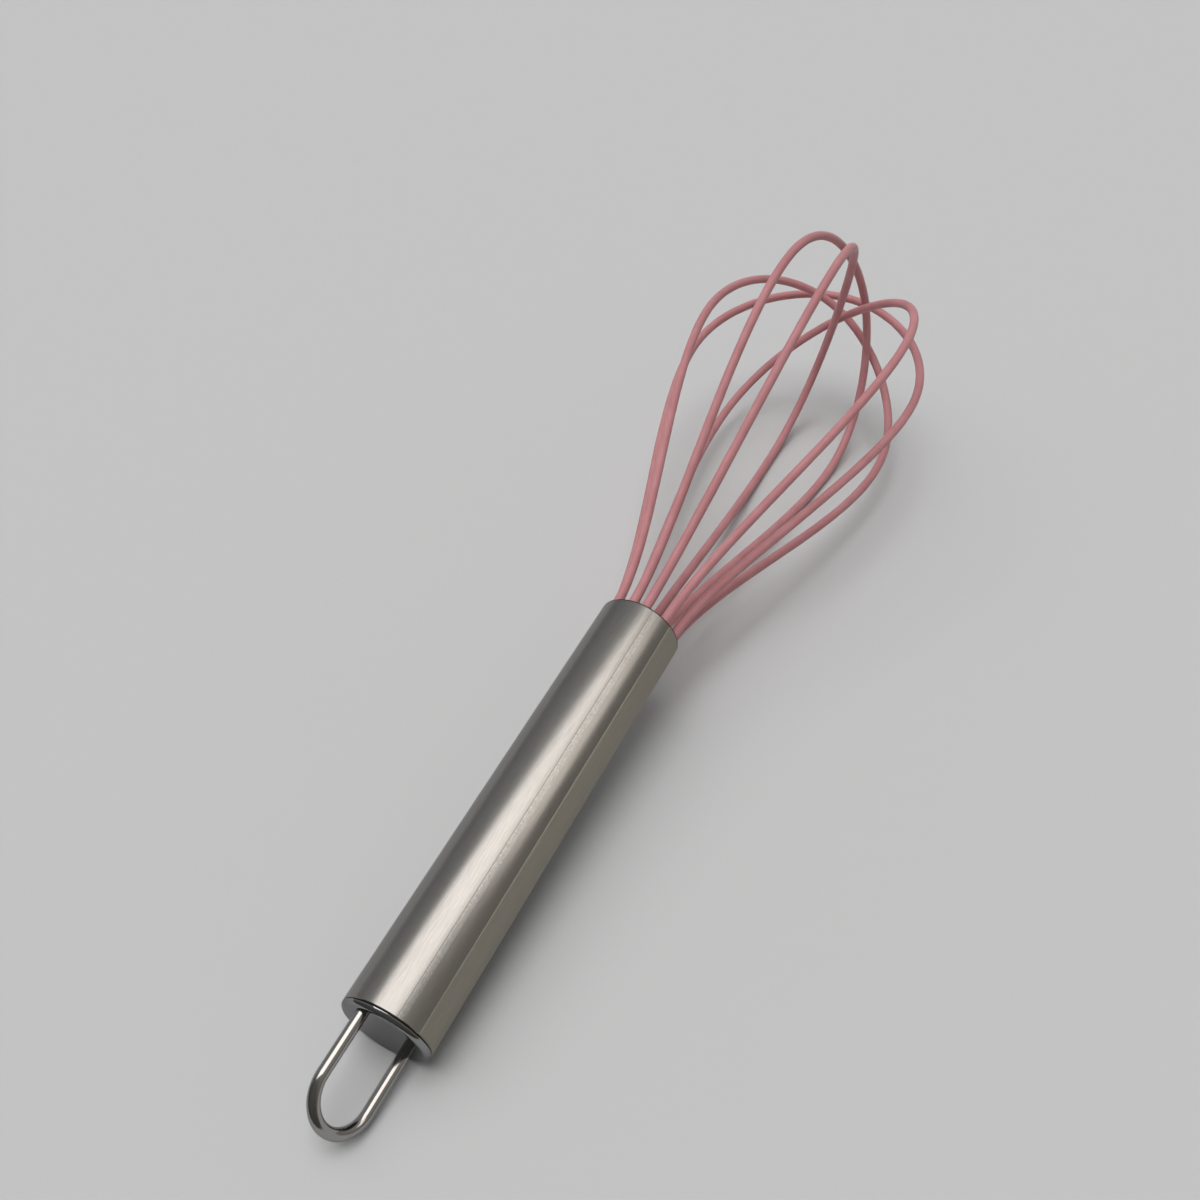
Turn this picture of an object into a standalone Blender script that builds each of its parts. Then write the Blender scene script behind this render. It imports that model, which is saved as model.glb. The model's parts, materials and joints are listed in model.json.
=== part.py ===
"""Balloon whisk with silicone-coated wire loops, a steel tube handle and a hanging loop.

The pieces are drawn along one straight axis: Z = 0 is the outer face of the end cap and
+Z runs up the handle to the tip of the balloon. The whole whisk is then laid down on its
side, as it lies on a table, with the tip towards +X and the middle of its box over the
origin.
"""

import math

import bmesh
import bpy
from mathutils import Matrix, Vector
from mathutils.bvhtree import BVHTree
from mathutils.geometry import interpolate_bezier

MM = 0.001

# Handle tube: drawn stainless tube, open at both ends
TUBE_DIAMETER = 22.0 * MM
TUBE_WALL = 0.6 * MM
TUBE_LENGTH = 117.5 * MM
RIM_ROUND = 0.2 * MM

# End cap: a stamped disc with a rounded lip and a skirt that is pressed into the tube
CAP_THICKNESS = 1.2 * MM
CAP_LIP = 1.3 * MM
SKIRT_DEPTH = 8.0 * MM
SKIRT_WALL = 0.5 * MM

# Hanging loop: one bent rod, its two legs through the cap
ROD_DIAMETER = 2.8 * MM
LEG_LENGTH = 13.8 * MM
LEG_TAIL = 1.8 * MM
LEG_CLEARANCE = 0.25 * MM
LEG_MARGIN = 0.15 * MM

# Whisk wires: spring steel in a silicone coat
CORE_DIAMETER = 1.5 * MM
COAT_DIAMETER = 2.6 * MM
COAT_WALL = 0.28 * MM
CORE_TAIL = 8.0 * MM

# Balloon, measured on the wires' centre lines from the mouth of the handle
BALLOON_LENGTH = 148.0 * MM
BALLOON_RADIUS = 37.0 * MM
WIDEST_AT = 110.0 * MM
MOUTH_EASE = 25.0 * MM
BELLY_BELOW = 32.0 * MM
BELLY_ABOVE = 25.0 * MM
CROWN_EASE = 17.0 * MM
CROWN_GAP = 0.8 * MM

# Plug that holds the wires in the mouth, and the resin poured behind it
PLUG_RECESS = 2.5 * MM
PLUG_LENGTH = 20.0 * MM
PLUG_DOME = 1.2 * MM
RESIN_LENGTH = 10.0 * MM

# Fits
SEAT_GAP = 0.3 * MM
WIRE_GAP = 0.4 * MM

# Fan of the loops: even steps of half a turn shared out, started at the floor side
LOOP_COUNT = 5
FAN_START = -79.0
FAN_STEP = -180.0 / LOOP_COUNT

# Each loop is bent by hand and differs a little: place in the fan, turn in degrees and
# layer in the crown from the inside. Then, in hundredths of the balloon's radius, its
# extra radius, the slide along its plane and the lean out of it at the crown, and the
# same two at the belly
LOOPS = {
    "a": (2, 1.5, 3, -2, 4, 18, 4, 5),
    "b": (3, 1.5, 4, -5, -4, 9, 2, -5),
    "c": (1, 6.0, 2, 7, -3, -18, -4, 0),
    "d": (4, -2.0, 1, -4, 7, 7, -5, 7),
    "e": (0, -6.0, 0, 4, -7, 1, -5, 0),
}

# Turn of the hanging loop about the axis, and where the whisk balances
HANG_TURN = 55.0
BALANCE_AT = 105.0 * MM

# Facets
ROUND_STEPS = 48
ARC_STEPS = 5
HOLE_SIDES = 16
BEND_STEPS = 12
SHANK_STEPS = 8
CROWN_STEPS = 10

# Sizes that follow from the ones above
TUBE_RADIUS = TUBE_DIAMETER / 2
BORE_RADIUS = TUBE_RADIUS - TUBE_WALL
TUBE_FOOT = CAP_THICKNESS + SEAT_GAP
MOUTH = TUBE_FOOT + TUBE_LENGTH
PLUG_FRONT = MOUTH - PLUG_RECESS
PLUG_BACK = PLUG_FRONT - PLUG_LENGTH
RESIN_FRONT = PLUG_BACK - SEAT_GAP
CORE_END = RESIN_FRONT - CORE_TAIL
FILL_RADIUS = BORE_RADIUS - SEAT_GAP
STRAND_CIRCLE = BORE_RADIUS - WIRE_GAP - COAT_DIAMETER / 2
CROWN_STEP = COAT_DIAMETER + CROWN_GAP
BEND_UNIT = BALLOON_RADIUS / 100
SKIRT_OUTER = BORE_RADIUS - SEAT_GAP
SKIRT_INNER = SKIRT_OUTER - SKIRT_WALL
LEG_HOLE = ROD_DIAMETER / 2 + LEG_CLEARANCE
LEG_OFFSET = SKIRT_INNER - LEG_MARGIN - LEG_HOLE


def clear_scene():
    for item in list(bpy.data.objects):
        bpy.data.objects.remove(item)


def new_collection(name):
    collection = bpy.data.collections.new(name)
    bpy.context.scene.collection.children.link(collection)
    return collection


def new_material(name, colour, roughness, metallic=0.0):
    material = bpy.data.materials.new(name)
    material.use_nodes = True
    shader = material.node_tree.nodes["Principled BSDF"]
    shader.inputs["Base Color"].default_value = (*colour, 1.0)
    shader.inputs["Roughness"].default_value = roughness
    shader.inputs["Metallic"].default_value = metallic
    material.diffuse_color = (*colour, 1.0)
    return material


def place(item, collection, axis, material=None):
    """Put an object in its collection and on the whisk's axis."""
    collection.objects.link(item)
    item.parent = axis
    if material:
        item.data.materials.clear()
        item.data.materials.append(material)
    return item


def smooth(mesh, angle=35.0):
    mesh.shade_smooth()
    mesh.set_sharp_from_angle(angle=math.radians(angle))


def turned(name, profile, closed=False):
    """Turn an (r, z) profile, listed down its outer side, round the axis."""
    count = len(profile)
    edges = [(i, (i + 1) % count) for i in range(count if closed else count - 1)]
    mesh = bpy.data.meshes.new(name)
    mesh.from_pydata([(r, 0.0, z) for r, z in profile], edges, [])
    item = bpy.data.objects.new(name, mesh)
    screw = item.modifiers.new("turn", "SCREW")
    screw.axis = "Z"
    screw.steps = ROUND_STEPS
    screw.render_steps = ROUND_STEPS
    screw.use_merge_vertices = True
    screw.merge_threshold = 0.00001
    screw.use_smooth_shade = True
    return item


def arc(centre, radius, start, end, steps=ARC_STEPS, height=None):
    """Points of an arc in the (r, z) plane, from one angle in degrees to another."""
    height = height or radius
    points = []
    for i in range(steps + 1):
        angle = math.radians(start + (end - start) * i / steps)
        points.append((centre[0] + radius * math.cos(angle), centre[1] + height * math.sin(angle)))
    return points


def rods(name, places, radius, low, high):
    """Upright rods at the given (x, y) places, as one cutter."""
    cutter = bmesh.new()
    for x, y in places:
        matrix = Matrix.Translation((x, y, (low + high) / 2))
        bmesh.ops.create_cone(cutter, cap_ends=True, segments=HOLE_SIDES, radius1=radius,
                              radius2=radius, depth=high - low, matrix=matrix)
    mesh = bpy.data.meshes.new(name)
    cutter.to_mesh(mesh)
    cutter.free()
    item = bpy.data.objects.new(name, mesh)
    item.hide_render = True
    item.display_type = "WIRE"
    return item


def cut(item, cutter):
    boolean = item.modifiers.new(cutter.name, "BOOLEAN")
    boolean.operation = "DIFFERENCE"
    boolean.solver = "EXACT"
    boolean.object = cutter


def wire_curve(name, points, radius, detail, caps):
    """A round wire along a chain of points."""
    curve = bpy.data.curves.new(name, "CURVE")
    curve.dimensions = "3D"
    curve.bevel_depth = radius
    curve.bevel_resolution = detail
    curve.render_resolution_u = 0
    curve.use_fill_caps = caps
    spline = curve.splines.new("POLY")
    spline.points.add(len(points) - 1)
    for target, point in zip(spline.points, points):
        target.co = (*point, 1.0)
    return bpy.data.objects.new(name, curve)


def open_pipe(name, points, radius, wall):
    """A pipe along a chain of points, open at both ends, with its wall inwards."""
    guide = wire_curve(name + "_guide", points, radius, 2, False)
    bpy.context.scene.collection.objects.link(guide)
    graph = bpy.context.evaluated_depsgraph_get()
    mesh = bpy.data.meshes.new_from_object(guide.evaluated_get(graph))
    bpy.data.objects.remove(guide)
    mesh.name = name
    smooth(mesh, 60.0)
    item = bpy.data.objects.new(name, mesh)
    shell = item.modifiers.new("wall", "SOLIDIFY")
    shell.thickness = wall
    shell.offset = -1.0
    shell.use_even_offset = True
    shell.use_rim = True
    return item


def balloon_side(length, radius):
    """One side of a loop as (r, z) from the mouth of the handle to the crown."""
    widest = Vector((radius, WIDEST_AT))
    crown = Vector((0.0, length))
    shank = interpolate_bezier(Vector((STRAND_CIRCLE, 0.0)),
                               Vector((STRAND_CIRCLE, MOUTH_EASE)),
                               widest - Vector((0.0, BELLY_BELOW)),
                               widest, SHANK_STEPS + 1)
    head = interpolate_bezier(widest,
                              widest + Vector((0.0, BELLY_ABOVE)),
                              crown + Vector((CROWN_EASE, 0.0)),
                              crown, CROWN_STEPS + 1)
    return shank + head[1:]


def loop_turn(key):
    place_in_fan, turn = LOOPS[key][:2]
    return math.radians(FAN_START + FAN_STEP * place_in_fan + turn)


def loop_path(key, foot):
    """Centre line of one wire: up one side of the balloon and down the other."""
    layer, *bends = LOOPS[key][2:]
    extra, slide, lean, belly_slide, belly_lean = [bend * BEND_UNIT for bend in bends]
    length = BALLOON_LENGTH + (layer - (LOOP_COUNT - 1) / 2) * CROWN_STEP
    side = balloon_side(length, BALLOON_RADIUS + extra)
    flat = [(-r, z) for r, z in side] + [(r, z) for r, z in reversed(side[:-1])]
    points = []
    for along, height in flat:
        share = height / length
        crown = share ** 2
        belly = 6.75 * share ** 2 * (1 - share)
        points.append(Vector((along + slide * crown + belly_slide * belly,
                              lean * crown + belly_lean * belly, MOUTH + height)))
    tail = [Vector((x, 0.0, foot)) for x in (-STRAND_CIRCLE, STRAND_CIRCLE)]
    points = [tail[0]] + points + [tail[1]]
    turn = Matrix.Rotation(loop_turn(key), 3, "Z")
    return [turn @ point for point in points]


def strand_places():
    """Where the ten strands stand in the handle."""
    places = []
    for key in LOOPS:
        angle = loop_turn(key)
        for sign in (-1, 1):
            places.append((sign * STRAND_CIRCLE * math.cos(angle),
                           sign * STRAND_CIRCLE * math.sin(angle)))
    return places


def leg_places():
    angle = math.radians(HANG_TURN)
    return [(sign * LEG_OFFSET * math.cos(angle), sign * LEG_OFFSET * math.sin(angle))
            for sign in (-1, 1)]


def build_tube():
    outer_top = arc((TUBE_RADIUS - RIM_ROUND, MOUTH - RIM_ROUND), RIM_ROUND, 90, 0, 2)
    inner_top = arc((BORE_RADIUS + RIM_ROUND, MOUTH - RIM_ROUND), RIM_ROUND, 180, 90, 2)
    profile = outer_top + [(TUBE_RADIUS, TUBE_FOOT), (BORE_RADIUS, TUBE_FOOT)] + inner_top
    return turned("handle_tube", profile, closed=True)


def build_cap():
    lip = arc((TUBE_RADIUS - CAP_LIP, CAP_THICKNESS), CAP_LIP, 0, -90, height=CAP_THICKNESS)
    profile = [(0.0, CAP_THICKNESS), (SKIRT_INNER, CAP_THICKNESS), (SKIRT_INNER, SKIRT_DEPTH),
               (SKIRT_OUTER, SKIRT_DEPTH), (SKIRT_OUTER, CAP_THICKNESS)] + lip + [(0.0, 0.0)]
    return turned("end_cap", profile)


def build_hang_loop():
    top = CAP_THICKNESS + LEG_TAIL
    bend = arc((0.0, -LEG_LENGTH), LEG_OFFSET, 180, 360, BEND_STEPS)
    flat = [(-LEG_OFFSET, top)] + bend + [(LEG_OFFSET, top)]
    turn = Matrix.Rotation(math.radians(HANG_TURN), 3, "Z")
    points = [turn @ Vector((along, 0.0, z)) for along, z in flat]
    return wire_curve("hang_loop", points, ROD_DIAMETER / 2, 4, True)


def build_plug():
    dome = arc((0.0, PLUG_FRONT - PLUG_DOME), FILL_RADIUS, 90, 0, ARC_STEPS, PLUG_DOME)
    profile = dome + [(FILL_RADIUS, PLUG_BACK), (0.0, PLUG_BACK)]
    return turned("wire_plug", profile)


def build_resin():
    back = RESIN_FRONT - RESIN_LENGTH
    profile = [(0.0, RESIN_FRONT), (FILL_RADIUS, RESIN_FRONT), (FILL_RADIUS, back), (0.0, back)]
    return turned("resin_seal", profile)


def resting_face(points):
    """Normal of the hull face that the whisk comes to lie on, from its side at -Y."""
    hull = bmesh.new()
    for point in points:
        hull.verts.new(point)
    bmesh.ops.convex_hull(hull, input=hull.verts)
    tree = BVHTree.FromBMesh(hull)
    balance = Vector((0.0, 0.0, BALANCE_AT))
    down = Vector((0.0, -1.0, 0.0))
    for _ in range(4):
        down = tree.ray_cast(balance, down)[1]
    hull.free()
    return down.normalized()


def lay_down(axis, items):
    """Turn the whisk so that it lies on its side, over the middle of its own box."""
    bpy.context.view_layer.update()
    graph = bpy.context.evaluated_depsgraph_get()
    points = []
    for item in items:
        shape = item.evaluated_get(graph)
        mesh = shape.to_mesh()
        points += [vertex.co.copy() for vertex in mesh.vertices]
        shape.to_mesh_clear()
    up = -resting_face(points)
    along = Vector((0.0, 0.0, 1.0))
    along = (along - along.dot(up) * up).normalized()
    turn = Matrix((along, up.cross(along), up))
    laid = [turn @ point for point in points]
    low = Vector([min(point[i] for point in laid) for i in range(3)])
    high = Vector([max(point[i] for point in laid) for i in range(3)])
    middle = (low + high) / 2
    shift = Vector((-middle.x, -middle.y, -low.z))
    axis.matrix_world = Matrix.Translation(shift) @ turn.to_4x4()


def main():
    clear_scene()
    whisk = new_collection("balloon_whisk")
    cutters = new_collection("cutters")
    axis = bpy.data.objects.new("whisk_axis", None)
    whisk.objects.link(axis)

    brushed = new_material("brushed_steel", (0.47, 0.45, 0.42), 0.32, 1.0)
    polished = new_material("polished_steel", (0.55, 0.54, 0.53), 0.12, 1.0)
    rod_steel = new_material("polished_rod", (0.60, 0.59, 0.58), 0.10, 1.0)
    nylon = new_material("plug_nylon", (0.05, 0.05, 0.05), 0.55)
    resin = new_material("sealing_resin", (0.35, 0.30, 0.20), 0.35)
    silicone = new_material("pink_silicone", (0.55, 0.19, 0.20), 0.50)
    spring = new_material("spring_steel", (0.40, 0.40, 0.40), 0.35, 1.0)

    tube = place(build_tube(), whisk, axis, brushed)
    cap = place(build_cap(), whisk, axis, polished)
    hang_loop = place(build_hang_loop(), whisk, axis, rod_steel)
    plug = place(build_plug(), whisk, axis, nylon)
    seal = place(build_resin(), whisk, axis, resin)
    items = [tube, cap, hang_loop, plug, seal]

    leg_holes = rods("leg_holes", leg_places(), LEG_HOLE, -CAP_THICKNESS, 2 * CAP_THICKNESS)
    cut(cap, place(leg_holes, cutters, axis))
    grooves = rods("wire_grooves", strand_places(), COAT_DIAMETER / 2 + SEAT_GAP,
                   PLUG_BACK - SEAT_GAP, PLUG_FRONT + SEAT_GAP)
    cut(plug, place(grooves, cutters, axis))
    core_holes = rods("core_holes", strand_places(), CORE_DIAMETER / 2 + SEAT_GAP,
                      CORE_END - SEAT_GAP, RESIN_FRONT + SEAT_GAP)
    cut(seal, place(core_holes, cutters, axis))

    for key in LOOPS:
        coat = open_pipe("silicone_coat_" + key, loop_path(key, PLUG_BACK), COAT_DIAMETER / 2,
                         COAT_WALL)
        core = wire_curve("steel_core_" + key, loop_path(key, CORE_END), CORE_DIAMETER / 2,
                          2, True)
        items.append(place(coat, whisk, axis, silicone))
        items.append(place(core, whisk, axis, spring))

    lay_down(axis, items)


main()
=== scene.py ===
"""Balloon whisk lying on a pale table: its finishes, the studio light and the camera.

Every piece is drawn along the whisk's own straight axis, with 0 at the outer face of the
end cap and Z up the handle to the tip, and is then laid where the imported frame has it.
Lengths are in metres and angles in degrees.
"""

import json
import math

import bmesh
import bpy
from mathutils import Matrix, Vector, noise
from mathutils.geometry import interpolate_bezier


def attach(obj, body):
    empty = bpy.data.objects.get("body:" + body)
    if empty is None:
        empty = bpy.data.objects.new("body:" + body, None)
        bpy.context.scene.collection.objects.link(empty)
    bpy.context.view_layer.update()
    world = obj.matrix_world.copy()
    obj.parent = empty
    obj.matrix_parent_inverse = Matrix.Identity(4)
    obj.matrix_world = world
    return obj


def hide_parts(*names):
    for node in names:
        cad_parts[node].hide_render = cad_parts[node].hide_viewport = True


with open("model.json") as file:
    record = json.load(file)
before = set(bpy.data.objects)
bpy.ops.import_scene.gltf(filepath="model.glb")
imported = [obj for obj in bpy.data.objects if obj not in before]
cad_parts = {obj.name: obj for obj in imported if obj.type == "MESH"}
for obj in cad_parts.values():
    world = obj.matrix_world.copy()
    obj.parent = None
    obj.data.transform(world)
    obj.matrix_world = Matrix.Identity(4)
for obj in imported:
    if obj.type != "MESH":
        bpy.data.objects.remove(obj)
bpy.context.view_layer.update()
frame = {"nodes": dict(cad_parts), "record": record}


# Handle tube: stainless sheet rolled round, welded along one line and brushed lengthwise,
# so highlights spread round the tube. The weld was dressed on a belt, which left a duller
# strip behind a crisp edge. The cut edges and the bore are unbrushed and dull, and their
# near-black tone is painted shade.
MM = 0.001
TUBE_RADIUS = 11.0 * MM
TUBE_BORE = 10.4 * MM
TUBE_FOOT = 1.5 * MM
TUBE_MOUTH = 119.0 * MM
RIM_ROUND = 0.2 * MM
RIM_STEPS = 8

# Angles round the tube. The mesh has a column at each step, but for the two sunk lines,
# which have columns of their own and clear the others by COLUMN_CLEAR
COLUMN_STEP = 1.5
COLUMN_CLEAR = 1.1
WELD_AT = 107.7
WELD_END = 114.5
STRIP_AT = 139.5
STRIP_END = 215.0
LINE_HALF = {WELD_AT: 0.3, STRIP_AT: 0.8}
LINE_DEPTH = {WELD_AT: 0.015 * MM, STRIP_AT: 0.05 * MM}

# The rim's facets turn less than this and shade smooth, the lines' flanks more and stay crisp
TUBE_CREASE = 14.0

# The places of the tube's five finishes in its list of materials
BRUSHED, DRESSED, WELDED, MOTTLED, CUT_SHADED = range(5)

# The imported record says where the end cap's face is and which way the whisk points. The
# handle is also turned a little about its own axis.
WHISK_ROLL = 1.87046
face = next(m for m in frame["record"]["mounts"] if m["name"] == "end_cap_face")
whisk_up = -Vector(face["axis"]).normalized()
whisk_side = Vector((0.0, 1.0, 0.0))
whisk_turn = Matrix((whisk_side, whisk_up.cross(whisk_side), whisk_up)).transposed().to_4x4()
WHISK_PLACE = (Matrix.Translation(face["pos_m"]) @ whisk_turn
               @ Matrix.Rotation(math.radians(WHISK_ROLL), 4, "Z"))


def smooth_mesh(name, build, crease):
    """Make a built shape a mesh that shades smooth but for edges sharper than the crease."""
    bmesh.ops.recalc_face_normals(build, faces=build.faces)
    mesh = bpy.data.meshes.new(name)
    build.to_mesh(mesh)
    build.free()
    mesh.shade_smooth()
    mesh.set_sharp_from_angle(angle=math.radians(crease))
    return mesh


def tube_mesh():
    """The tube: its outer side with the sunk lines, its bore and its broken edges."""
    angles = [COLUMN_STEP * i for i in range(round(360 / COLUMN_STEP))
              if all(abs(COLUMN_STEP * i - at) > COLUMN_CLEAR for at in LINE_HALF)]
    for at, half in LINE_HALF.items():
        angles += [at - half, at, at + half]
    angles.sort()
    # The outline runs up the outer side and back down the bore, and its second and third
    # steps are brushed. Its point two rim roundings below the mouth keeps their shading
    # straight.
    outline = [(TUBE_BORE, TUBE_FOOT), (TUBE_RADIUS - RIM_ROUND, TUBE_FOOT),
               (TUBE_RADIUS, TUBE_FOOT + RIM_ROUND), (TUBE_RADIUS, TUBE_MOUTH - 2 * RIM_ROUND),
               (TUBE_RADIUS, TUBE_MOUTH - RIM_ROUND)]
    brushed_steps = (1, 2)
    for i in range(1, RIM_STEPS + 1):
        t = math.radians(90 * i / RIM_STEPS)
        outline.append((TUBE_RADIUS - RIM_ROUND * (1 - math.cos(t)),
                        TUBE_MOUTH - RIM_ROUND * (1 - math.sin(t))))
    outline.append((TUBE_BORE, TUBE_MOUTH - RIM_ROUND / 2))
    build = bmesh.new()
    around = build.loops.layers.uv.new("around")
    columns = []
    for angle in angles:
        a = math.radians(angle)
        low = LINE_DEPTH.get(angle, 0.0)
        columns.append([build.verts.new(((r - low) * math.cos(a), (r - low) * math.sin(a), z))
                        for r, z in outline])
    for i, left in enumerate(columns):
        right = columns[(i + 1) % len(columns)]
        finish = BRUSHED
        if WELD_AT - LINE_HALF[WELD_AT] <= angles[i] < WELD_AT + LINE_HALF[WELD_AT]:
            finish = WELDED
        elif WELD_AT < angles[i] < WELD_END:
            finish = MOTTLED
        elif STRIP_AT <= angles[i] < STRIP_END:
            finish = DRESSED
        for j in range(len(outline)):
            k = (j + 1) % len(outline)
            quad = build.faces.new((left[j], right[j], right[k], left[k]))
            quad.material_index = finish if j in brushed_steps else CUT_SHADED
            for loop, (step, place) in zip(quad.loops, ((0, j), (1, j), (1, k), (0, k))):
                loop[around].uv = ((i + step) / len(columns), outline[place][1] / TUBE_MOUTH)
    return smooth_mesh("handle_tube_brushed", build, TUBE_CREASE)


def linear(colour):
    """An sRGB hex colour as linear red, green, blue and 1."""
    channels = [int(colour[i:i + 2], 16) / 255 for i in (1, 3, 5)]
    return [c / 12.92 if c <= 0.04045 else ((c + 0.055) / 1.055) ** 2.4
            for c in channels] + [1.0]


def add(tree, kind, values=None, links=None, **settings):
    """Add a node: its settings, the values of its sockets, and what feeds them."""
    node = tree.nodes.new("ShaderNode" + kind)
    for name, value in settings.items():
        setattr(node, name, value)
    for socket, value in (values or {}).items():
        node.inputs[socket].default_value = value
    for socket, source in (links or {}).items():
        tree.links.new(source, node.inputs[socket])
    return node


def new_material(name):
    """An empty material, its node tree and its output node."""
    material = bpy.data.materials.new(name)
    material.use_nodes = True
    material.node_tree.nodes.clear()
    output = add(material.node_tree, "OutputMaterial")
    return material, material.node_tree, output


def along_whisk(tree):
    """Coordinates on the whisk's own axis, in metres, for the patterns of a material."""
    place = add(tree, "TexCoord").outputs["Object"]
    turn = add(tree, "Mapping", {"Location": WHISK_PLACE.to_translation(),
                                 "Rotation": WHISK_PLACE.to_euler()}, {"Vector": place},
               vector_type="TEXTURE")
    return turn.outputs[0]


# EDGE_TINT dims what the steel mirrors at a glancing angle, as rough brushed metal does.
# Handling leaves its gloss uneven in patches of about 22 mm. Real brush marks are about
# 0.05 mm wide, and all are drawn 0.3 mm or wider, so that they show.
TUBE_STEEL = "#93918E"
STRIP_STEEL = "#959187"
LINE_STEEL = "#75706A"
BAND_STEEL = "#9C9B99"
# The cut edges' steel is darker than bare steel can be: painted shade on the bore and rim
CUT_AND_SHADE_STEEL = "#4A4744"
EDGE_TINT = "#E1E1E1"
HANDLED_PATCH = 22.0 * MM
BRUSH_DEPTH = 0.02 * MM


def brushed_steel(name, colour, roughness, grain, run, streak, stretch=0.0):
    """Brushed stainless: marks that vary its tone and gloss.

    grain is how wide a mark is, run how far it goes along the whisk, streak how much it
    lightens or darkens the steel, and stretch how much it spreads a reflection round."""
    material, tree, output = new_material(name)
    place = along_whisk(tree)
    marks = add(tree, "Mapping", {"Scale": (1 / grain, 1 / grain, 1 / run)}, {"Vector": place})
    grit = add(tree, "TexNoise", {"Scale": 1.0, "Detail": 3.0, "Roughness": 0.6},
               {"Vector": marks.outputs[0]})
    patches = add(tree, "TexNoise", {"Scale": 1 / HANDLED_PATCH, "Detail": 2.0},
                  {"Vector": place})
    tone = add(tree, "MapRange", {"From Min": 0.3, "From Max": 0.7, "To Min": 1 - streak,
                                  "To Max": 1 + streak}, {"Value": grit.outputs[0]})
    tint = add(tree, "VectorMath", {0: linear(colour)[:3]}, {"Scale": tone.outputs[0]},
               operation="SCALE")
    gloss = add(tree, "MapRange", {"From Min": 0.3, "From Max": 0.7,
                                   "To Min": roughness - 0.015, "To Max": roughness + 0.02},
                {"Value": patches.outputs[0]})
    bump = add(tree, "Bump", {"Strength": 0.03, "Distance": BRUSH_DEPTH},
               {"Height": grit.outputs[0]})
    steel = add(tree, "BsdfPrincipled", {"Metallic": 1.0, "Anisotropic": stretch,
                                         "Specular Tint": linear(EDGE_TINT)},
                {"Base Color": tint.outputs[0], "Roughness": gloss.outputs[0],
                 "Normal": bump.outputs[0]})
    if stretch:
        around = add(tree, "Tangent", direction_type="UV_MAP", uv_map="around")
        tree.links.new(around.outputs[0], steel.inputs["Tangent"])
    tree.links.new(steel.outputs[0], output.inputs["Surface"])
    return material


def lay(name, mesh, slot, materials, *nodes):
    """Lay a piece on the whisk's axis, dress it, and let it stand for its CAD nodes."""
    mesh.transform(WHISK_PLACE)
    piece = bpy.data.objects.new(name, mesh)
    bpy.context.scene.collection.objects.link(piece)
    for material in materials:
        mesh.materials.append(material)
    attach(piece, "root")
    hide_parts(*nodes)


# The brushed side: a satin grey whose highlights are long and soft-edged
tube_steel = brushed_steel("brushed_stainless", TUBE_STEEL, roughness=0.23, grain=0.3 * MM,
                           run=4.0 * MM, streak=0.06, stretch=0.5)
# The dressed strip: a coarser belt left it dull, even and a little warm, with no highlight
strip_steel = brushed_steel("belt_dressed_strip", STRIP_STEEL, roughness=0.40,
                            grain=0.4 * MM, run=6.0 * MM, streak=0.05, stretch=0.75)
# The weld itself: a rough dark thread of metal
line_steel = brushed_steel("weld_line_steel", LINE_STEEL, roughness=0.40, grain=0.8 * MM,
                           run=0.8 * MM, streak=0.15)
# The band beside it: steel that the weld's heat left mottled, so its sheen is uneven
band_steel = brushed_steel("mottled_weld_steel", BAND_STEEL, roughness=0.26,
                           grain=0.35 * MM, run=0.6 * MM, streak=0.16, stretch=0.5)
# The cut edges and the bore: unbrushed, so dull; their near-black tone is painted shade
cut_and_shade_steel = brushed_steel("cut_edge_steel_and_painted_shade", CUT_AND_SHADE_STEEL, roughness=0.45, grain=0.3 * MM,
                          run=0.6 * MM, streak=0.15)
lay("tube_brushed", tube_mesh(), "tube_steel",
    [tube_steel, strip_steel, line_steel, band_steel, cut_and_shade_steel], "handle_tube")


# End cap: a disc stamped from bright stainless sheet with a rounded lip, pressed into the
# foot of the tube. It is polished, so it mirrors the table and the legs of the loop.
CAP_THICKNESS = 1.2 * MM
CAP_LIP = 1.3 * MM
LIP_STEPS = 10
FACE_RING = TUBE_RADIUS - 1.2 * CAP_LIP
SKIRT_OUTER = 10.1 * MM
SKIRT_INNER = 9.6 * MM
SKIRT_DEPTH = 8.0 * MM
CAP_STEPS = 144
CAP_CREASE = 40.0
TOUCHING = 0.00001 * MM
CAP_STEEL = "#949494"
POLISH_TINT = "#C4C4C4"

# Wiping leaves marks a few millimetres wide. Real hairline scratches are far finer than
# 0.5 mm, and are drawn this wide so that they show.
WIPE_MARK = 5.0 * MM
HAIRLINE = 0.5 * MM
HAIRLINE_DEPTH = 0.01 * MM


def turned_mesh(name, outline, steps, crease):
    """Turn an (r, z) outline round the axis; its ends may lie on the axis."""
    build = bmesh.new()
    columns = []
    for i in range(steps):
        a = 2 * math.pi * i / steps
        columns.append([build.verts.new((r * math.cos(a), r * math.sin(a), z))
                        for r, z in outline])
    for i, left in enumerate(columns):
        right = columns[(i + 1) % steps]
        for j in range(len(outline) - 1):
            build.faces.new((left[j], right[j], right[j + 1], left[j + 1]))
    bmesh.ops.remove_doubles(build, verts=build.verts, dist=TOUCHING)
    return smooth_mesh(name, build, crease)


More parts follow.
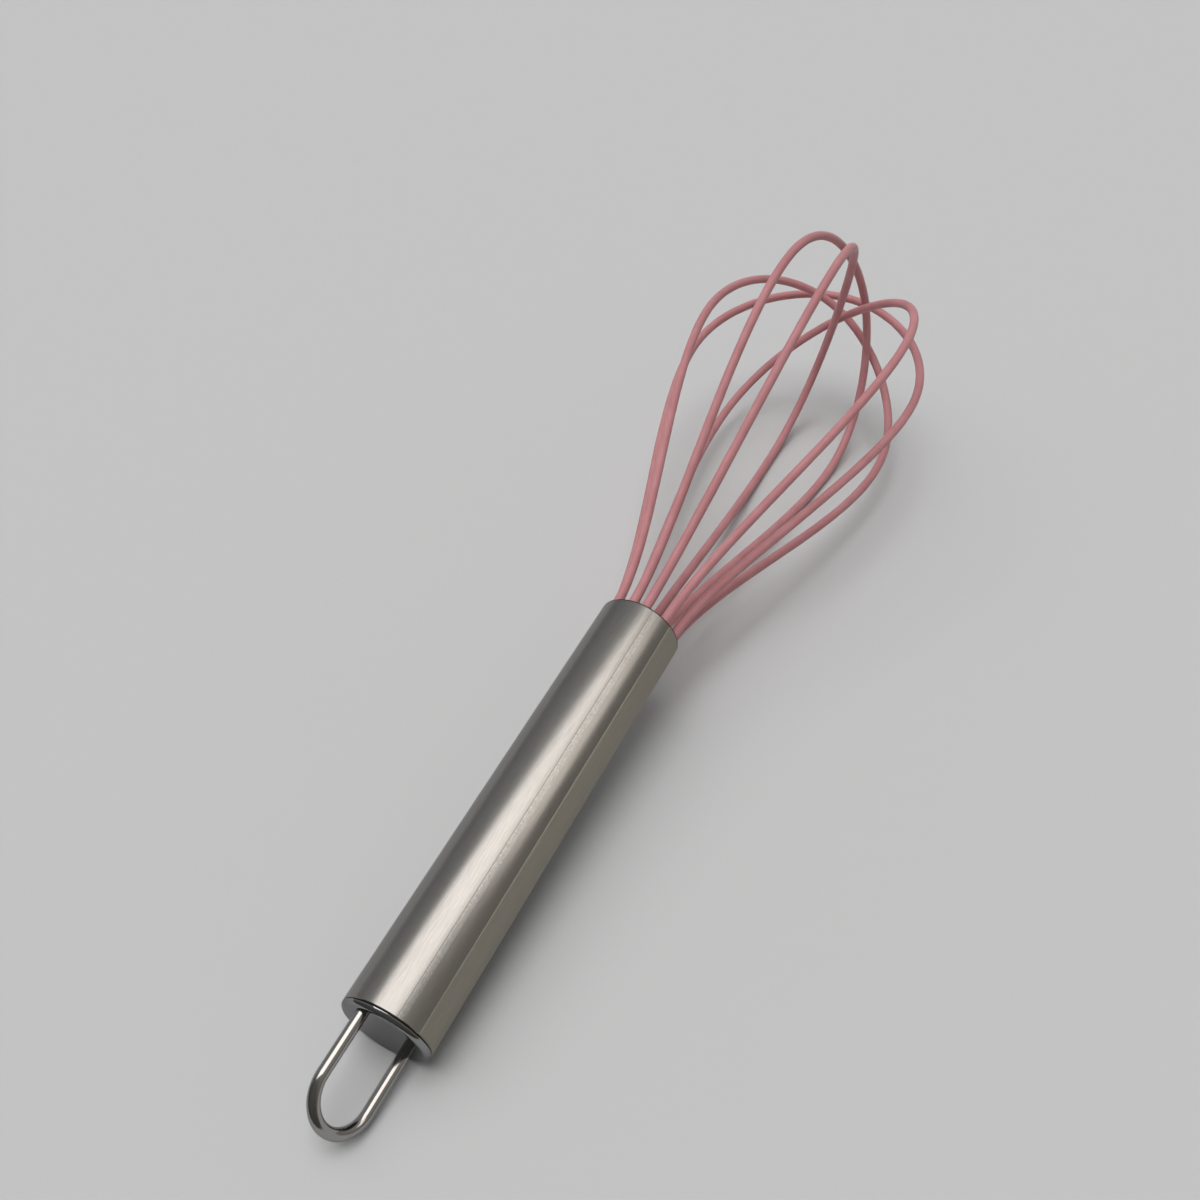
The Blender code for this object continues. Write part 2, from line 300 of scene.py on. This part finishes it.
def polished_steel(name, colour, roughness):
    """Polished stainless: a clear mirror with faint wiping marks and a few hairlines."""
    material, tree, output = new_material(name)
    place = along_whisk(tree)
    smears = add(tree, "TexNoise", {"Scale": 1 / WIPE_MARK, "Detail": 3.0, "Distortion": 0.6},
                 {"Vector": place})
    gloss = add(tree, "MapRange", {"From Min": 0.35, "From Max": 0.7, "To Min": roughness,
                                   "To Max": roughness + 0.05}, {"Value": smears.outputs[0]})
    hairs = add(tree, "TexNoise", {"Scale": 1 / HAIRLINE, "Detail": 2.0}, {"Vector": place})
    bump = add(tree, "Bump", {"Strength": 0.06, "Distance": HAIRLINE_DEPTH},
               {"Height": hairs.outputs[0]})
    tone = add(tree, "MapRange", {"To Min": 0.96, "To Max": 1.03}, {"Value": smears.outputs[0]})
    tint = add(tree, "VectorMath", {0: linear(colour)[:3]}, {"Scale": tone.outputs[0]},
               operation="SCALE")
    steel = add(tree, "BsdfPrincipled", {"Metallic": 1.0, "Specular Tint": linear(POLISH_TINT)},
                {"Base Color": tint.outputs[0], "Roughness": gloss.outputs[0],
                 "Normal": bump.outputs[0]})
    tree.links.new(steel.outputs[0], output.inputs["Surface"])
    return material


# The outline runs across the inside of the disc, up the skirt and back, over the lip and
# across the face. FACE_RING, just inside the lip, keeps the shading of the face flat.
cap_outline = [(0.0, CAP_THICKNESS), (SKIRT_INNER, CAP_THICKNESS), (SKIRT_INNER, SKIRT_DEPTH),
               (SKIRT_OUTER, SKIRT_DEPTH), (SKIRT_OUTER, CAP_THICKNESS)]
for i in range(LIP_STEPS + 1):
    t = math.radians(90 * i / LIP_STEPS)
    cap_outline.append((TUBE_RADIUS - CAP_LIP * (1 - math.cos(t)),
                        CAP_THICKNESS * (1 - math.sin(t))))
cap_outline += [(FACE_RING, 0.0), (0.0, 0.0)]
cap_steel = polished_steel("polished_cap_steel", CAP_STEEL, roughness=0.06)
lay("cap_polished", turned_mesh("end_cap_polished", cap_outline, CAP_STEPS, CAP_CREASE),
    "cap_steel", [cap_steel], "end_cap")


# Hanging loop: one bright stainless rod bent into a U, its straight legs welded through
# the cap. The polish makes long sharp highlights down the legs.
ROD_RADIUS = 1.4 * MM
LEG_LENGTH = 13.8 * MM
LEG_OFFSET = 7.8 * MM
LEG_TAIL = 3.0 * MM
HANG_TURN = 55.0
LEG_STEPS = 8
BEND_STEPS = 60
ROD_SIDES = 32
END_CREASE = 50.0
ROD_STEEL = "#A1A09E"


def swept_mesh(name, points, radius, sides, wall=0.0):
    """A round rod along a chain of points, or a pipe if it is given a wall.

    radius is a function of the place along the chain, from 0 to 1."""
    build = bmesh.new()
    heading = (points[1] - points[0]).normalized()
    across = heading.orthogonal().normalized()
    outer, inner = [], []
    for i, point in enumerate(points):
        before = points[max(i - 1, 0)]
        after = points[min(i + 1, len(points) - 1)]
        new_heading = (after - before).normalized()
        across = heading.rotation_difference(new_heading) @ across
        heading = new_heading
        across = (across - across.dot(heading) * heading).normalized()
        other = heading.cross(across)
        spokes = []
        for s in range(sides):
            a = 2 * math.pi * s / sides
            spokes.append(across * math.cos(a) + other * math.sin(a))
        size = radius(i / (len(points) - 1))
        outer.append([build.verts.new(point + spoke * size) for spoke in spokes])
        if wall:
            inner.append([build.verts.new(point + spoke * (size - wall)) for spoke in spokes])
    for rings in (outer, inner):
        for low, high in zip(rings, rings[1:]):
            for s in range(sides):
                t = (s + 1) % sides
                build.faces.new((low[s], low[t], high[t], high[s]))
    for end in (0, -1):
        if wall:
            for s in range(sides):
                t = (s + 1) % sides
                build.faces.new((outer[end][s], outer[end][t], inner[end][t], inner[end][s]))
        else:
            build.faces.new(outer[end])
    return smooth_mesh(name, build, END_CREASE)


leg = [LEG_TAIL - (LEG_LENGTH + LEG_TAIL) * i / LEG_STEPS for i in range(LEG_STEPS)]
hang = [(-LEG_OFFSET, z) for z in leg]
for i in range(BEND_STEPS + 1):
    t = math.radians(180 + 180 * i / BEND_STEPS)
    hang.append((LEG_OFFSET * math.cos(t), -LEG_LENGTH + LEG_OFFSET * math.sin(t)))
hang += [(LEG_OFFSET, z) for z in reversed(leg)]
hang_turn = Matrix.Rotation(math.radians(HANG_TURN), 3, "Z")
rod_steel = polished_steel("polished_rod_steel", ROD_STEEL, roughness=0.10)
hang_mesh = swept_mesh("hang_loop_polished", [hang_turn @ Vector((x, 0, z)) for x, z in hang],
                       lambda share: ROD_RADIUS, ROD_SIDES)
lay("loop_polished", hang_mesh, "loop_steel", [rod_steel], "hang_loop")


# Plug and resin: a moulded nylon plug holds the wires round the mouth, and amber resin
# poured behind it locks their bare ends. Both keep the shape of their CAD solids. The
# plug is matt. Its own colour is not known, and its dark grey is painted shade of the
# mouth it sits deep in. The resin has a soft gloss.
PLUG_SHADE_GREY = "#3A3533"
SEAL_RESIN = "#A8926B"


def moulded(name, colour, roughness, grain, depth):
    """A moulded or poured plastic with a fine skin texture and faint cloudy tone."""
    material, tree, output = new_material(name)
    place = along_whisk(tree)
    skin = add(tree, "TexNoise", {"Scale": 1 / grain, "Detail": 3.0}, {"Vector": place})
    tone = add(tree, "MapRange", {"To Min": 0.85, "To Max": 1.15}, {"Value": skin.outputs[0]})
    tint = add(tree, "VectorMath", {0: linear(colour)[:3]}, {"Scale": tone.outputs[0]},
               operation="SCALE")
    bump = add(tree, "Bump", {"Strength": 0.4, "Distance": depth}, {"Height": skin.outputs[0]})
    body = add(tree, "BsdfPrincipled", {"Roughness": roughness},
               {"Base Color": tint.outputs[0], "Normal": bump.outputs[0]})
    tree.links.new(body.outputs[0], output.inputs["Surface"])
    return material


def dress(node, material):
    """Give a CAD node that keeps its own shape its finish."""
    mesh = frame["nodes"][node].data
    mesh.materials.clear()
    mesh.materials.append(material)


# The plug's dark grey is painted shade of the deep mouth, not a known colour
plug_nylon_in_shade = moulded("moulded_nylon_painted_shade", PLUG_SHADE_GREY, roughness=0.5, grain=0.6 * MM,
                     depth=0.03 * MM)
seal_resin = moulded("poured_resin", SEAL_RESIN, roughness=0.25, grain=3.0 * MM,
                     depth=0.02 * MM)
dress("wire_plug", plug_nylon_in_shade)
dress("resin_seal", seal_resin)


# Steel cores: bright spring wire inside the silicone, drawn through a die, so its marks
# run along it. They stay hidden, and keep the shape of their CAD solids.
CORE_STEEL = "#A9A9A8"
core_steel = brushed_steel("drawn_spring_wire", CORE_STEEL, roughness=0.3, grain=0.3 * MM,
                           run=4.0 * MM, streak=0.06)
for key in "abcde":
    dress("steel_core_" + key, core_steel)


# Balloon: five loops of spring wire, each in a coat of dusty pink silicone extruded over
# it, with both ends held in the plug. The skin is matt and a little waxy, and the coat
# thins and swells very slightly.
COAT_RADIUS = 1.3 * MM
COAT_WALL = 0.28 * MM
COAT_START = 96.5 * MM
COAT_SIDES = 24
STRAND_CIRCLE = 8.7 * MM
BALLOON_LENGTH = 148.0 * MM
BALLOON_RADIUS = 37.0 * MM
WIDEST_AT = 110.0 * MM
MOUTH_EASE = 25.0 * MM
BELLY_BELOW = 32.0 * MM
BELLY_ABOVE = 25.0 * MM
CROWN_EASE = 17.0 * MM
CROWN_STEP = 3.4 * MM
MIDDLE_LAYER = 2
FAN_START = -79.0
FAN_STEP = -36.0
SHANK_STEPS = 40
CROWN_STEPS = 44

# The noise that thins a coat runs through SWELLS units from end to end, and the next
# coat takes it COATS_APART units away, so that no two coats are alike
COAT_SWELL = 0.02
SWELLS = 40.0
COATS_APART = 7.0

# Each loop is bent by hand and differs a little: place in the fan, turn in degrees and
# layer in the crown from the inside. Then, in hundredths of the balloon's radius, its
# extra radius, the slide along its plane and the lean out of it at the crown, and the
# same two at the belly
LOOPS = {
    "a": (2, 1.5, 3, -2, 4, 18, 4, 5),
    "b": (3, 1.5, 4, -5, -4, 9, 2, -5),
    "c": (1, 6.0, 2, 7, -3, -18, -4, 0),
    "d": (4, -2.0, 1, -4, 7, 7, -5, 7),
    "e": (0, -6.0, 0, 4, -7, 1, -5, 0),
}
BEND_UNIT = BALLOON_RADIUS / 100

# A bend at the belly fades out at the mouth and the crown: 6.75 s s (1 - s) is 1 where it
# is greatest, two thirds of the way up
BELLY_PEAK = 6.75


def loop_points(place, turn, layer, *bends):
    """Centre line of one wire: up one side of the balloon and down the other."""
    extra, slide, lean, belly_slide, belly_lean = [bend * BEND_UNIT for bend in bends]
    length = BALLOON_LENGTH + (layer - MIDDLE_LAYER) * CROWN_STEP
    widest = Vector((BALLOON_RADIUS + extra, WIDEST_AT))
    crown = Vector((0.0, length))
    mouth = Vector((STRAND_CIRCLE, 0.0))
    shank = interpolate_bezier(mouth, mouth + Vector((0.0, MOUTH_EASE)),
                               widest - Vector((0.0, BELLY_BELOW)), widest, SHANK_STEPS + 1)
    head = interpolate_bezier(widest, widest + Vector((0.0, BELLY_ABOVE)),
                              crown + Vector((CROWN_EASE, 0.0)), crown, CROWN_STEPS + 1)
    side = shank + head[1:]
    points = [Vector((-STRAND_CIRCLE, 0.0, COAT_START))]
    for r, z in [(-r, z) for r, z in side] + [(r, z) for r, z in reversed(side[:-1])]:
        share = z / length
        at_crown = share ** 2
        at_belly = BELLY_PEAK * share ** 2 * (1 - share)
        points.append(Vector((r + slide * at_crown + belly_slide * at_belly,
                              lean * at_crown + belly_lean * at_belly, TUBE_MOUTH + z)))
    points.append(Vector((STRAND_CIRCLE, 0.0, COAT_START)))
    spin = Matrix.Rotation(math.radians(FAN_START + FAN_STEP * place + turn), 3, "Z")
    return [spin @ point for point in points]


# The bloom lies in patches about 7 mm across. Real flow lines are finer than 0.5 mm, and
# are drawn this wide so that they show.
SILICONE = "#BF8386"
SILICONE_DUST = "#B67A7D"
BLOOM_PATCH = 7.0 * MM
FLOW_LINE = 0.5 * MM
FLOW_RUN = 6.0 * MM
FLOW_DEPTH = 0.04 * MM

# A Mix node set to colours takes them in these two sockets and gives them out by this one
ONE_COLOUR, OTHER_COLOUR, MIXED = 6, 7, 2


def silicone(name):
    """Extruded silicone: matt and waxy, faint flow lines and a dusty, uneven bloom."""
    material, tree, output = new_material(name)
    place = along_whisk(tree)
    bloom = add(tree, "TexNoise", {"Scale": 1 / BLOOM_PATCH, "Detail": 3.0}, {"Vector": place})
    flow = add(tree, "Mapping", {"Scale": (1 / FLOW_LINE, 1 / FLOW_LINE, 1 / FLOW_RUN)},
               {"Vector": place})
    grain = add(tree, "TexNoise", {"Scale": 1.0, "Detail": 2.0}, {"Vector": flow.outputs[0]})
    dust = add(tree, "MapRange", {"From Min": 0.35, "From Max": 0.65},
               {"Value": bloom.outputs[0]})
    tint = add(tree, "Mix", {ONE_COLOUR: linear(SILICONE), OTHER_COLOUR: linear(SILICONE_DUST)},
               {"Factor": dust.outputs[0]}, data_type="RGBA")
    gloss = add(tree, "MapRange", {"To Min": 0.42, "To Max": 0.6}, {"Value": grain.outputs[0]})
    bump = add(tree, "Bump", {"Strength": 0.25, "Distance": FLOW_DEPTH},
               {"Height": grain.outputs[0]})
    body = add(tree, "BsdfPrincipled", {"IOR": 1.41, "Subsurface Weight": 0.3,
                                        "Subsurface Radius": (1.0, 0.35, 0.3),
                                        "Subsurface Scale": 1.0 * MM,
                                        "Sheen Weight": 0.12, "Sheen Roughness": 0.5},
               {"Base Color": tint.outputs[MIXED], "Roughness": gloss.outputs[0],
                "Normal": bump.outputs[0]})
    tree.links.new(body.outputs[0], output.inputs["Surface"])
    return material


pink_silicone = silicone("extruded_silicone")
for number, (key, shape) in enumerate(LOOPS.items()):
    def swell(share, number=number):
        """This coat's radius at one place along it, never over COAT_RADIUS."""
        wave = noise.noise(Vector((share * SWELLS, number * COATS_APART, 0.5)))
        return COAT_RADIUS * (1 - COAT_SWELL + COAT_SWELL * wave)
    coat_mesh = swept_mesh("silicone_coat_" + key + "_skin", loop_points(*shape), swell,
                           COAT_SIDES, COAT_WALL)
    lay("coat_" + key, coat_mesh, "pink_silicone", [pink_silicone], "silicone_coat_" + key)


# Table: a wide sheet of pale grey paper with a very fine tooth, laid flat under the whisk.
# It is matt, so it takes soft shadows and no reflections. The tooth is drawn 0.8 mm wide,
# coarser than a real one, so that it shows.
FLOOR_HALF = 6.0
FLOOR_PAPER = "#C5C5C5"
PAPER_TOOTH = 0.8 * MM
TOOTH_DEPTH = 0.05 * MM


def square(half, height):
    """The corners of a level square round the middle of the table."""
    return [(-half, -half, height), (half, -half, height), (half, half, height),
            (-half, half, height)]


floor_material, floor_tree, floor_output = new_material("grey_paper")
floor_place = add(floor_tree, "TexCoord").outputs["Object"]
tooth = add(floor_tree, "TexNoise", {"Scale": 1 / PAPER_TOOTH, "Detail": 3.0},
            {"Vector": floor_place})
floor_bump = add(floor_tree, "Bump", {"Strength": 0.1, "Distance": TOOTH_DEPTH},
                 {"Height": tooth.outputs[0]})
paper = add(floor_tree, "BsdfPrincipled", {"Base Color": linear(FLOOR_PAPER), "Roughness": 0.9,
                                           "Specular IOR Level": 0.2},
            {"Normal": floor_bump.outputs[0]})
floor_tree.links.new(paper.outputs[0], floor_output.inputs["Surface"])
floor_mesh = bpy.data.meshes.new("table")
floor_mesh.from_pydata(square(FLOOR_HALF, 0.0), [], [(0, 1, 2, 3)])
floor_mesh.materials.append(floor_material)
floor = bpy.data.objects.new("table", floor_mesh)
bpy.context.scene.collection.objects.link(floor)


# Light: a soft key from overhead, a broad fill from the left and an even ambient. Two
# ceiling panels and the dim walls of the studio only show in reflections, above all in
# the steel.
def soft_sun(name, towards, strength, spread):
    """Even light from one direction, as soft as a disc of the given angle in the sky.

    A strength of 1 shows a white sheet that faces it as plain white."""
    data = bpy.data.lights.new(name, "SUN")
    data.energy = strength * math.pi
    data.angle = math.radians(spread)
    sun = bpy.data.objects.new(name, data)
    sun.rotation_euler = Vector(towards).to_track_quat("Z", "Y").to_euler()
    sun.visible_glossy = False
    bpy.context.scene.collection.objects.link(sun)


def ceiling_panel(name, place, turn, size, radiance, colour):
    """A panel light under the ceiling that only shows in reflections."""
    data = bpy.data.lights.new(name, "AREA")
    data.shape = "RECTANGLE"
    data.size, data.size_y = size
    data.energy = radiance * math.pi * size[0] * size[1]
    data.color = linear(colour)[:3]
    panel = bpy.data.objects.new(name, data)
    panel.location = place
    panel.rotation_euler = (0.0, 0.0, math.radians(turn))
    panel.visible_diffuse = False
    bpy.context.scene.collection.objects.link(panel)


soft_sun("overhead_key", towards=(-0.10, 0.11, 1.0), strength=0.37, spread=38.0)
soft_sun("left_fill", towards=(-0.08, 0.40, 1.0), strength=0.38, spread=62.0)
ceiling_panel("left_panel", place=(0.32, 0.58, 3.0), turn=18.9, size=(1.75, 3.12),
              radiance=2.47, colour="#FFFAF5")
ceiling_panel("right_panel", place=(1.55, -2.29, 3.0), turn=19.7, size=(1.05, 3.33),
              radiance=1.53, colour="#FFF8EF")

# The studio walls brighten towards the ceiling, and are dimmer behind the camera and warmer
# on the right. Behind the camera a dark sheet lies just over the table, and only reflections
# show it: a painted dark reflection in the steel.
WALL = 6.0
CEILING = 3.6
PAINTED_DARK_FROM = -0.19
PAINTED_DARK_RISE = 1.0 * MM
WARM_PAINT = "#FFF6EA"
WHITE_PAINT = "#FFFFFF"
walls_material, walls_tree, walls_output = new_material("studio_walls")
wall_place = add(walls_tree, "NewGeometry").outputs["Position"]
outwards = add(walls_tree, "VectorMath", links={0: wall_place}, operation="NORMALIZE")
heading = add(walls_tree, "SeparateXYZ", links={0: outwards.outputs[0]})
rise = add(walls_tree, "MapRange", {"To Min": 0.26, "To Max": 0.48},
           {"Value": heading.outputs["Z"]})
dim = add(walls_tree, "MapRange", {"From Min": -0.4, "From Max": 0.1, "To Min": 0.35},
          {"Value": heading.outputs["X"]})
level = add(walls_tree, "Math", links={0: rise.outputs[0], 1: dim.outputs[0]},
            operation="MULTIPLY")
left = add(walls_tree, "MapRange", {"From Min": -0.9, "From Max": 0.1},
           {"Value": heading.outputs["Y"]})
paint = add(walls_tree, "Mix", {ONE_COLOUR: linear(WARM_PAINT),
                                OTHER_COLOUR: linear(WHITE_PAINT)},
            {"Factor": left.outputs[0]}, data_type="RGBA")
glow = add(walls_tree, "Emission", links={"Color": paint.outputs[MIXED],
                                          "Strength": level.outputs[0]})
walls_tree.links.new(glow.outputs[0], walls_output.inputs["Surface"])
walls_mesh = bpy.data.meshes.new("studio_walls")
# A dark sheet over the table, seen only in reflections: a painted dark reflection
painted_dark_reflection = [(-WALL, -WALL, PAINTED_DARK_RISE), (PAINTED_DARK_FROM, -WALL, PAINTED_DARK_RISE),
               (PAINTED_DARK_FROM, WALL, PAINTED_DARK_RISE), (-WALL, WALL, PAINTED_DARK_RISE)]
walls_mesh.from_pydata(square(WALL, 0.0) + square(WALL, CEILING) + painted_dark_reflection, [],
                       [(0, 1, 5, 4), (1, 2, 6, 5), (2, 3, 7, 6), (3, 0, 4, 7), (4, 5, 6, 7),
                        (8, 9, 10, 11)])
walls_mesh.materials.append(walls_material)
walls = bpy.data.objects.new("studio_walls", walls_mesh)
bpy.context.scene.collection.objects.link(walls)
walls.visible_camera = False
walls.visible_diffuse = False
walls.visible_shadow = False
walls.visible_transmission = False

# The world is an even ambient light, and a pale backdrop wherever it is seen or mirrored
AMBIENT = 0.25
AMBIENT_WHITE = "#FFFFFF"
BACKDROP_GREY = "#CFCFCF"
world = bpy.data.worlds.new("studio")
bpy.context.scene.world = world
world.use_nodes = True
world_tree = world.node_tree
world_tree.nodes.clear()
path = add(world_tree, "LightPath")
direct_or_mirrored = add(world_tree, "Math", links={0: path.outputs["Is Camera Ray"],
                                                    1: path.outputs["Is Glossy Ray"]},
                         operation="MAXIMUM")
seen = add(world_tree, "Math", links={0: direct_or_mirrored.outputs[0],
                                      1: path.outputs["Is Transmission Ray"]},
           operation="MAXIMUM")
ambient = add(world_tree, "Background", {"Color": linear(AMBIENT_WHITE), "Strength": AMBIENT})
backdrop = add(world_tree, "Background", {"Color": linear(BACKDROP_GREY), "Strength": 1.0})
both = add(world_tree, "MixShader", links={0: seen.outputs[0], 1: ambient.outputs[0],
                                           2: backdrop.outputs[0]})
add(world_tree, "OutputWorld", links={"Surface": both.outputs[0]})


# Camera: above the near end of the handle, looking along the whisk, as in the photograph.
# Its lens takes in about 50 degrees across the square frame.
CAMERA_PLACE = (-0.22010, -0.08380, 0.27039)
CAMERA_TURN = (43.917, -3.182, -62.534)
SENSOR_MM = 36.0
LENS_MM = 39.02
NEAREST = 10.0 * MM
camera_data = bpy.data.cameras.new("camera")
camera_data.sensor_width = SENSOR_MM
camera_data.lens = LENS_MM
camera_data.clip_start = NEAREST
camera = bpy.data.objects.new("camera", camera_data)
camera.location = CAMERA_PLACE
camera.rotation_euler = [math.radians(a) for a in CAMERA_TURN]
bpy.context.scene.collection.objects.link(camera)
bpy.context.scene.camera = camera
bpy.context.scene.view_settings.view_transform = "Standard"
